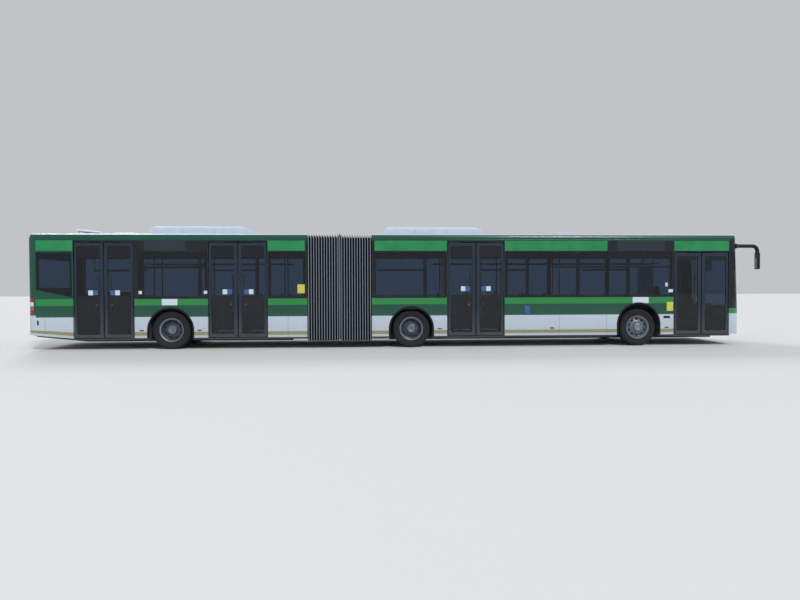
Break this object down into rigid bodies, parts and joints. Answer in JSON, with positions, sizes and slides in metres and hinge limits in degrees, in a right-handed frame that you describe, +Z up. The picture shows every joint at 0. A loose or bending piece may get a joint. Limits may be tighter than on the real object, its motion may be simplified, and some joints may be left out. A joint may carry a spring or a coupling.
{
  "type": "articulated bus",
  "caption": "Low-floor articulated city bus: two hollow cars joined by a turntable under a folded bellows, with inward-gliding double doors, glazed sides and roof pods.",
  "frame": {"origin": "on the ground, under the middle of the overall box", "axes": "+X forwards along the bus, +Y to its left, +Z up"},
  "size_m": [18.599, 2.5552, 3.09],
  "materials": {
    "green_paint": "gloss",
    "white_paint": "gloss",
    "glass": "tinted",
    "tyre_rubber": "matte",
    "wheel_steel": "satin",
    "frame_steel": "matte",
    "bellows_cloth": "matte",
    "hoop_aluminium": "satin",
    "door_frame": "satin",
    "column_steel": "satin",
    "seat_shell": "matte",
    "rail_tube": "gloss",
    "black_plastic": "matte",
    "clear_lamp": "gloss",
    "red_lamp": "gloss",
    "engine_iron": "matte",
    "pod_plastic": "gloss"
  },
  "bodies": {
    "front_car": {"front_car_axles": "frame_steel", "front_glass": "glass", "front_handrails": "rail_tube", "front_mask": "green_paint", "front_roof": "white_paint", "front_roof_pod": "pod_plastic", "front_seats": "seat_shell", "front_underframe": "frame_steel", "front_wall_left": "green_paint", "front_wall_right": "green_paint", "dashboard": "black_plastic", "windscreen": "glass", "mirrors": "black_plastic", "headlamps": "clear_lamp", "turntable": "frame_steel", "bellows": "bellows_cloth"},
    "rear_car": {"rear_glass": "glass", "rear_handrails": "rail_tube", "rear_mask": "green_paint", "rear_roof": "white_paint", "rear_roof_pod": "pod_plastic", "rear_seats": "seat_shell", "rear_underframe": "frame_steel", "rear_wall_left": "green_paint", "rear_wall_right": "green_paint", "drive_axle": "frame_steel", "engine": "engine_iron", "tail_lamps": "red_lamp"},
    "centre_hoop": {"centre_hoop": "hoop_aluminium"},
    "engine_flap": {"engine_flap": "white_paint"},
    "knuckle_right": {"knuckle_right": "frame_steel"},
    "knuckle_left": {"knuckle_left": "frame_steel"},
    "front_wheel_right": {"front_tyre_right": "tyre_rubber", "front_rim_right": "wheel_steel"},
    "front_wheel_left": {"front_tyre_left": "tyre_rubber", "front_rim_left": "wheel_steel"},
    "middle_wheel_right": {"middle_tyre_right": "tyre_rubber", "middle_rim_right": "wheel_steel"},
    "middle_wheel_left": {"middle_tyre_left": "tyre_rubber", "middle_rim_left": "wheel_steel"},
    "rear_wheel_right": {"rear_tyre_right": "tyre_rubber", "rear_rim_right": "wheel_steel"},
    "rear_wheel_left": {"rear_tyre_left": "tyre_rubber", "rear_rim_left": "wheel_steel"},
    "door_1_arm_rear": {"door_1_arm_rear": "column_steel"},
    "door_1_leaf_rear": {"door_1_leaf_rear": "door_frame"},
    "door_1_arm_front": {"door_1_arm_front": "column_steel"},
    "door_1_leaf_front": {"door_1_leaf_front": "door_frame"},
    "door_2_arm_rear": {"door_2_arm_rear": "column_steel"},
    "door_2_leaf_rear": {"door_2_leaf_rear": "door_frame"},
    "door_2_arm_front": {"door_2_arm_front": "column_steel"},
    "door_2_leaf_front": {"door_2_leaf_front": "door_frame"},
    "door_3_arm_rear": {"door_3_arm_rear": "column_steel"},
    "door_3_leaf_rear": {"door_3_leaf_rear": "door_frame"},
    "door_3_arm_front": {"door_3_arm_front": "column_steel"},
    "door_3_leaf_front": {"door_3_leaf_front": "door_frame"},
    "door_4_arm_rear": {"door_4_arm_rear": "column_steel"},
    "door_4_leaf_rear": {"door_4_leaf_rear": "door_frame"},
    "door_4_arm_front": {"door_4_arm_front": "column_steel"},
    "door_4_leaf_front": {"door_4_leaf_front": "door_frame"}
  },
  "joints": [
    {"name": "articulation", "type": "hinge", "parent": "front_car", "child": "rear_car", "pos_m": [-1.6605, 0, 0.201], "axis": [0, 0, 1], "range_deg": [-50, 50], "deforming": ["bellows"]},
    {"name": "hoop_turn", "type": "hinge", "parent": "front_car", "child": "centre_hoop", "pos_m": [-1.6605, 0, 0.234], "axis": [0, 0, 1], "range_deg": [-25, 25]},
    {"name": "flap_lift", "type": "hinge", "parent": "rear_car", "child": "engine_flap", "pos_m": [-9.2905, 0, 1.18], "axis": [0, 1, 0], "range_deg": [0, 80]},
    {"name": "steer_right", "type": "hinge", "parent": "front_car", "child": "knuckle_right", "pos_m": [6.0295, -0.93, 0.478], "axis": [0, 0, 1], "range_deg": [-45, 45]},
    {"name": "steer_left", "type": "hinge", "parent": "front_car", "child": "knuckle_left", "pos_m": [6.0295, 0.93, 0.478], "axis": [0, 0, 1], "range_deg": [-45, 45]},
    {"name": "front_wheel_right_roll", "type": "hinge", "parent": "knuckle_right", "child": "front_wheel_right", "pos_m": [6.0295, -1.062, 0.478], "axis": [0, 1, 0], "continuous": true},
    {"name": "front_wheel_left_roll", "type": "hinge", "parent": "knuckle_left", "child": "front_wheel_left", "pos_m": [6.0295, 1.062, 0.478], "axis": [0, 1, 0], "continuous": true},
    {"name": "middle_wheel_right_roll", "type": "hinge", "parent": "front_car", "child": "middle_wheel_right", "pos_m": [0.1495, -1.062, 0.478], "axis": [0, 1, 0], "continuous": true},
    {"name": "middle_wheel_left_roll", "type": "hinge", "parent": "front_car", "child": "middle_wheel_left", "pos_m": [0.1495, 1.062, 0.478], "axis": [0, 1, 0], "continuous": true},
    {"name": "rear_wheel_right_roll", "type": "hinge", "parent": "rear_car", "child": "rear_wheel_right", "pos_m": [-5.8405, -1.062, 0.478], "axis": [0, 1, 0], "continuous": true},
    {"name": "rear_wheel_left_roll", "type": "hinge", "parent": "rear_car", "child": "rear_wheel_left", "pos_m": [-5.8405, 1.062, 0.478], "axis": [0, 1, 0], "continuous": true},
    {"name": "door_1_open", "type": "hinge", "parent": "front_car", "child": "door_1_arm_rear", "pos_m": [6.9295, -1.175, 1.4], "axis": [0, 0, 1], "range_deg": [0, 80]},
    {"name": "door_1_leaf_rear_turn", "type": "hinge", "parent": "door_1_arm_rear", "child": "door_1_leaf_rear", "pos_m": [7.2865, -1.175, 1.4], "axis": [0, 0, 1], "range_deg": [-160, 0]},
    {"name": "door_1_column_front", "type": "hinge", "parent": "front_car", "child": "door_1_arm_front", "pos_m": [8.4495, -1.175, 1.4], "axis": [0, 0, 1], "range_deg": [-80, 0]},
    {"name": "door_1_leaf_front_turn", "type": "hinge", "parent": "door_1_arm_front", "child": "door_1_leaf_front", "pos_m": [8.0925, -1.175, 1.4], "axis": [0, 0, 1], "range_deg": [0, 160]},
    {"name": "door_2_open", "type": "hinge", "parent": "front_car", "child": "door_2_arm_rear", "pos_m": [1.0365, -1.175, 1.4], "axis": [0, 0, 1], "range_deg": [0, 80]},
    {"name": "door_2_leaf_rear_turn", "type": "hinge", "parent": "door_2_arm_rear", "child": "door_2_leaf_rear", "pos_m": [1.3935, -1.175, 1.4], "axis": [0, 0, 1], "range_deg": [-160, 0]},
    {"name": "door_2_column_front", "type": "hinge", "parent": "front_car", "child": "door_2_arm_front", "pos_m": [2.5565, -1.175, 1.4], "axis": [0, 0, 1], "range_deg": [-80, 0]},
    {"name": "door_2_leaf_front_turn", "type": "hinge", "parent": "door_2_arm_front", "child": "door_2_leaf_front", "pos_m": [2.1995, -1.175, 1.4], "axis": [0, 0, 1], "range_deg": [0, 160]},
    {"name": "door_3_open", "type": "hinge", "parent": "rear_car", "child": "door_3_arm_rear", "pos_m": [-4.9455, -1.175, 1.4], "axis": [0, 0, 1], "range_deg": [0, 80]},
    {"name": "door_3_leaf_rear_turn", "type": "hinge", "parent": "door_3_arm_rear", "child": "door_3_leaf_rear", "pos_m": [-4.5885, -1.175, 1.4], "axis": [0, 0, 1], "range_deg": [-160, 0]},
    {"name": "door_3_column_front", "type": "hinge", "parent": "rear_car", "child": "door_3_arm_front", "pos_m": [-3.4255, -1.175, 1.4], "axis": [0, 0, 1], "range_deg": [-80, 0]},
    {"name": "door_3_leaf_front_turn", "type": "hinge", "parent": "door_3_arm_front", "child": "door_3_leaf_front", "pos_m": [-3.7825, -1.175, 1.4], "axis": [0, 0, 1], "range_deg": [0, 160]},
    {"name": "door_4_open", "type": "hinge", "parent": "rear_car", "child": "door_4_arm_rear", "pos_m": [-8.2125, -1.175, 1.4], "axis": [0, 0, 1], "range_deg": [0, 80]},
    {"name": "door_4_leaf_rear_turn", "type": "hinge", "parent": "door_4_arm_rear", "child": "door_4_leaf_rear", "pos_m": [-7.8555, -1.175, 1.4], "axis": [0, 0, 1], "range_deg": [-160, 0]},
    {"name": "door_4_column_front", "type": "hinge", "parent": "rear_car", "child": "door_4_arm_front", "pos_m": [-6.6925, -1.175, 1.4], "axis": [0, 0, 1], "range_deg": [-80, 0]},
    {"name": "door_4_leaf_front_turn", "type": "hinge", "parent": "door_4_arm_front", "child": "door_4_leaf_front", "pos_m": [-7.0495, -1.175, 1.4], "axis": [0, 0, 1], "range_deg": [0, 160]}
  ],
  "couplings": [
    {"joint": "hoop_turn", "follows": "articulation", "ratio": 0.5},
    {"joint": "steer_left", "follows": "steer_right", "ratio": 1},
    {"joint": "door_1_leaf_rear_turn", "follows": "door_1_open", "ratio": -2},
    {"joint": "door_1_column_front", "follows": "door_1_open", "ratio": -1},
    {"joint": "door_1_leaf_front_turn", "follows": "door_1_open", "ratio": 2},
    {"joint": "door_2_leaf_rear_turn", "follows": "door_2_open", "ratio": -2},
    {"joint": "door_2_column_front", "follows": "door_2_open", "ratio": -1},
    {"joint": "door_2_leaf_front_turn", "follows": "door_2_open", "ratio": 2},
    {"joint": "door_3_leaf_rear_turn", "follows": "door_3_open", "ratio": -2},
    {"joint": "door_3_column_front", "follows": "door_3_open", "ratio": -1},
    {"joint": "door_3_leaf_front_turn", "follows": "door_3_open", "ratio": 2},
    {"joint": "door_4_leaf_rear_turn", "follows": "door_4_open", "ratio": -2},
    {"joint": "door_4_column_front", "follows": "door_4_open", "ratio": -1},
    {"joint": "door_4_leaf_front_turn", "follows": "door_4_open", "ratio": 2}
  ]
}
